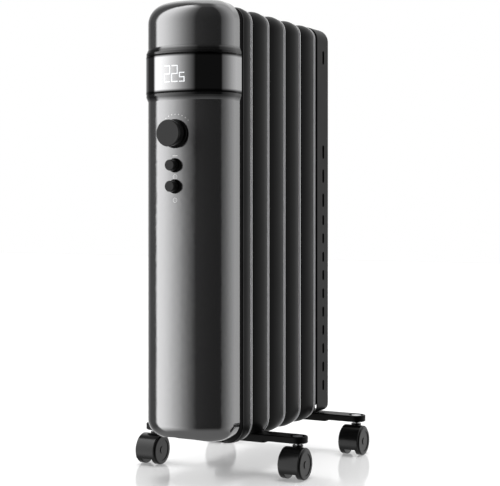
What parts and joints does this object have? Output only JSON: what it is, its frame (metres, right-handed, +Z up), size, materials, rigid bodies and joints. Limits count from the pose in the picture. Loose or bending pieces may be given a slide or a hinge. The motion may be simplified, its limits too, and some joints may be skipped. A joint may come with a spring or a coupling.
{
  "type": "oil filled radiator heater",
  "caption": "Upright oil filled radiator on swivel castors: rounded black fins, a slotted rear cover and a glossy control tower with a display band, a knob and push buttons.",
  "frame": {"origin": "middle of the footprint, on the floor that the castors stand on", "axes": "+Z is up; -Y is the control side, with the display, the knob and the buttons; the fins are stacked along +Y; +X is the heater's right as a person facing the controls sees it"},
  "size_m": [0.2522, 0.3523, 0.62],
  "materials": {
    "satin_black_steel": "satin black powder coat",
    "element_steel": "satin black powder coat",
    "nickel_plated_brass": "plated",
    "zinc_plated_steel": "zinc plated",
    "galvanised_sheet": "galvanised",
    "graphite_gloss": "gloss graphite",
    "smoked_window": "polished, near black",
    "display_white": "lit white figures",
    "knob_satin": "satin grained",
    "button_satin": "satin grained",
    "bezel_gloss": "gloss black",
    "inner_plastic": "moulded",
    "circuit_board": "circuit board green",
    "gland_rubber": "soft black",
    "castor_plastic": "semi-gloss black",
    "wheel_plastic": "semi-gloss black",
    "axle_steel": "plated"
  },
  "bodies": {
    "radiator": {"fin_1": "satin_black_steel", "fin_2": "satin_black_steel", "fin_3": "satin_black_steel", "fin_4": "satin_black_steel", "fin_5": "satin_black_steel", "end_element": "element_steel", "duct_end_caps": "element_steel", "filler_boss": "element_steel", "oil_filler_plug": "nickel_plated_brass", "heating_element": "nickel_plated_brass", "rear_cover": "satin_black_steel", "front_foot": "satin_black_steel", "rear_foot": "satin_black_steel", "foot_brackets": "element_steel", "foot_bolts": "zinc_plated_steel", "foot_nuts": "zinc_plated_steel", "castor_stems": "zinc_plated_steel", "castor_nuts": "zinc_plated_steel", "lower_housing": "graphite_gloss", "top_cap": "graphite_gloss", "back_plate": "galvanised_sheet", "tower_screws": "zinc_plated_steel", "standoffs": "zinc_plated_steel", "standoff_nuts": "zinc_plated_steel", "display_window": "smoked_window", "band_carrier": "inner_plastic", "display_module": "circuit_board", "display_digits": "display_white", "knob_bezel": "bezel_gloss", "button_bezels": "bezel_gloss", "thermostat": "inner_plastic", "button_switches": "inner_plastic", "control_board": "circuit_board", "board_spacers": "inner_plastic", "power_board": "circuit_board", "terminal_block": "inner_plastic", "thermal_cutout": "inner_plastic", "tip_over_switch": "inner_plastic", "cord_gland": "gland_rubber"},
    "knob_and_shaft": {"knob": "knob_satin", "thermostat_shaft": "zinc_plated_steel"},
    "power_button": {"power_button": "button_satin"},
    "mode_button": {"mode_button": "button_satin"},
    "front_left_castor": {"front_left_hood": "castor_plastic", "front_left_axle": "axle_steel"},
    "front_left_wheel_left": {"front_left_wheel_left": "wheel_plastic"},
    "front_left_wheel_right": {"front_left_wheel_right": "wheel_plastic"},
    "front_right_castor": {"front_right_hood": "castor_plastic", "front_right_axle": "axle_steel"},
    "front_right_wheel_left": {"front_right_wheel_left": "wheel_plastic"},
    "front_right_wheel_right": {"front_right_wheel_right": "wheel_plastic"},
    "rear_left_castor": {"rear_left_hood": "castor_plastic", "rear_left_axle": "axle_steel"},
    "rear_left_wheel_left": {"rear_left_wheel_left": "wheel_plastic"},
    "rear_left_wheel_right": {"rear_left_wheel_right": "wheel_plastic"},
    "rear_right_castor": {"rear_right_hood": "castor_plastic", "rear_right_axle": "axle_steel"},
    "rear_right_wheel_left": {"rear_right_wheel_left": "wheel_plastic"},
    "rear_right_wheel_right": {"rear_right_wheel_right": "wheel_plastic"}
  },
  "joints": [
    {"name": "knob_turn", "type": "hinge", "parent": "radiator", "child": "knob_and_shaft", "pos_m": [0, -0.165, 0.448], "axis": [0, -1, 0], "range_deg": [-135, 135]},
    {"name": "power_button_press", "type": "slide", "parent": "radiator", "child": "power_button", "axis": [0, 1, 0], "range_m": [0, 0.0025], "stiffness_N_per_m": 600, "springref_m": -0.0015},
    {"name": "mode_button_press", "type": "slide", "parent": "radiator", "child": "mode_button", "axis": [0, 1, 0], "range_m": [0, 0.0025], "stiffness_N_per_m": 600, "springref_m": -0.0015},
    {"name": "front_left_swivel", "type": "hinge", "parent": "radiator", "child": "front_left_castor", "pos_m": [-0.1097, -0.0293, 0.0435], "axis": [0, 0, 1], "continuous": true},
    {"name": "front_left_wheel_left_roll", "type": "hinge", "parent": "front_left_castor", "child": "front_left_wheel_left", "pos_m": [-0.12185, -0.0377, 0.02], "axis": [1, 0, 0], "continuous": true},
    {"name": "front_left_wheel_right_roll", "type": "hinge", "parent": "front_left_castor", "child": "front_left_wheel_right", "pos_m": [-0.09755, -0.0377, 0.02], "axis": [1, 0, 0], "continuous": true},
    {"name": "front_right_swivel", "type": "hinge", "parent": "radiator", "child": "front_right_castor", "pos_m": [0.1097, -0.0293, 0.0435], "axis": [0, 0, 1], "continuous": true},
    {"name": "front_right_wheel_left_roll", "type": "hinge", "parent": "front_right_castor", "child": "front_right_wheel_left", "pos_m": [0.09755, -0.0377, 0.02], "axis": [1, 0, 0], "continuous": true},
    {"name": "front_right_wheel_right_roll", "type": "hinge", "parent": "front_right_castor", "child": "front_right_wheel_right", "pos_m": [0.12185, -0.0377, 0.02], "axis": [1, 0, 0], "continuous": true},
    {"name": "rear_left_swivel", "type": "hinge", "parent": "radiator", "child": "rear_left_castor", "pos_m": [-0.1097, 0.1627, 0.0435], "axis": [0, 0, 1], "continuous": true},
    {"name": "rear_left_wheel_left_roll", "type": "hinge", "parent": "rear_left_castor", "child": "rear_left_wheel_left", "pos_m": [-0.12185, 0.1543, 0.02], "axis": [1, 0, 0], "continuous": true},
    {"name": "rear_left_wheel_right_roll", "type": "hinge", "parent": "rear_left_castor", "child": "rear_left_wheel_right", "pos_m": [-0.09755, 0.1543, 0.02], "axis": [1, 0, 0], "continuous": true},
    {"name": "rear_right_swivel", "type": "hinge", "parent": "radiator", "child": "rear_right_castor", "pos_m": [0.1097, 0.1627, 0.0435], "axis": [0, 0, 1], "continuous": true},
    {"name": "rear_right_wheel_left_roll", "type": "hinge", "parent": "rear_right_castor", "child": "rear_right_wheel_left", "pos_m": [0.09755, 0.1543, 0.02], "axis": [1, 0, 0], "continuous": true},
    {"name": "rear_right_wheel_right_roll", "type": "hinge", "parent": "rear_right_castor", "child": "rear_right_wheel_right", "pos_m": [0.12185, 0.1543, 0.02], "axis": [1, 0, 0], "continuous": true}
  ]
}
